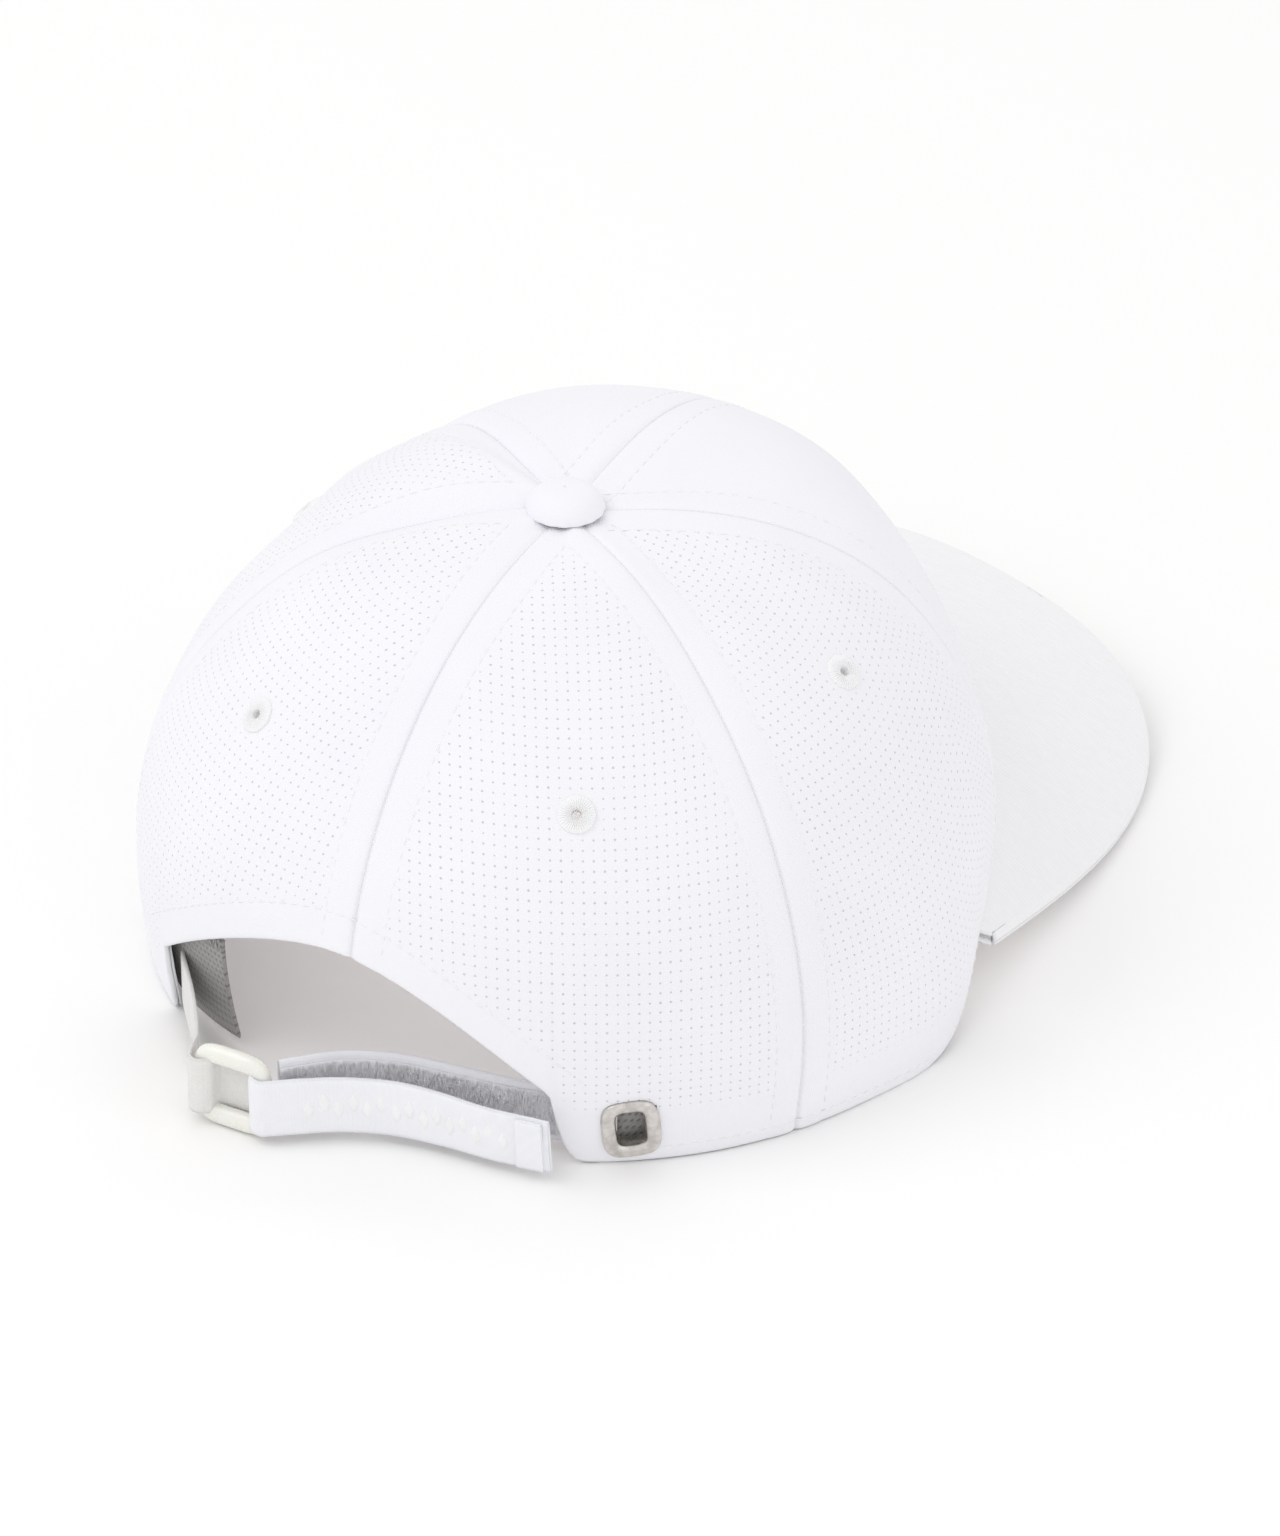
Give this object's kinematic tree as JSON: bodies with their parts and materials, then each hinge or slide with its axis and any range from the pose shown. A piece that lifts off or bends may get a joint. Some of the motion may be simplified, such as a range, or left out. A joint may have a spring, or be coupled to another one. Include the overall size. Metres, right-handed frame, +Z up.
{
  "type": "golf cap",
  "caption": "White golf cap with a curved visor, perforated side and rear panels, sewn eyelets, a slot grommet and a hook-and-loop back strap through a ring.",
  "frame": {"origin": "on the ground under the middle of the cap's outer box", "axes": "+Z up, -Y forwards along the visor, +X towards the wearer's left"},
  "size_m": [0.1926, 0.2646, 0.1183],
  "materials": {
    "crown_cloth": "white ripstop weave, fine perforations on the side and rear panels",
    "visor_cloth": "white fine ribbed weave",
    "lining_tape": "white woven tape",
    "stiffener": "stiff open-weave backing",
    "sweatband_mesh": "grey knitted mesh with overlocked edge",
    "board_plastic": "matt polyethylene",
    "webbing": "smooth white webbing",
    "loop_pile": "brushed loop pile",
    "tab_webbing": "off-white brushed webbing",
    "thread": "off-white embroidery thread",
    "ring_plastic": "glossy off-white",
    "grommet_metal": "satin nickel",
    "button_metal": "plain stamped"
  },
  "bodies": {
    "cap": {"front_panel_left": "crown_cloth", "front_panel_right": "crown_cloth", "side_panel_left": "crown_cloth", "side_panel_right": "crown_cloth", "rear_panel_left": "crown_cloth", "rear_panel_right": "crown_cloth", "front_backing_left": "stiffener", "front_backing_right": "stiffener", "seam_tape_front": "lining_tape", "seam_tape_front_left": "lining_tape", "seam_tape_front_right": "lining_tape", "seam_tape_rear": "lining_tape", "seam_tape_rear_left": "lining_tape", "seam_tape_rear_right": "lining_tape", "sweatband": "sweatband_mesh", "arch_facing": "lining_tape", "visor_top_cloth": "visor_cloth", "visor_board": "board_plastic", "visor_under_cloth": "visor_cloth", "button_cover": "crown_cloth", "button_cap": "button_metal", "button_stud": "button_metal", "eyelets": "thread", "grommet_front": "grommet_metal", "grommet_washer": "grommet_metal", "strap_base": "webbing", "strap_loop_pad": "loop_pile", "ring_tab": "tab_webbing"},
    "ring": {"strap_ring": "ring_plastic"},
    "strap_end": {"strap_tail": "webbing", "strap_hook_pad": "loop_pile"}
  },
  "joints": [
    {"name": "ring_swing", "type": "hinge", "parent": "cap", "child": "ring", "pos_m": [0.0315, 0.1293, 0.0104], "axis": [0, 0, -1], "range_deg": [0, 20]},
    {"name": "strap_peel", "type": "hinge", "parent": "ring", "child": "strap_end", "pos_m": [0.0155, 0.1293, 0.0104], "axis": [0, 0, -1], "range_deg": [0, 140]}
  ]
}
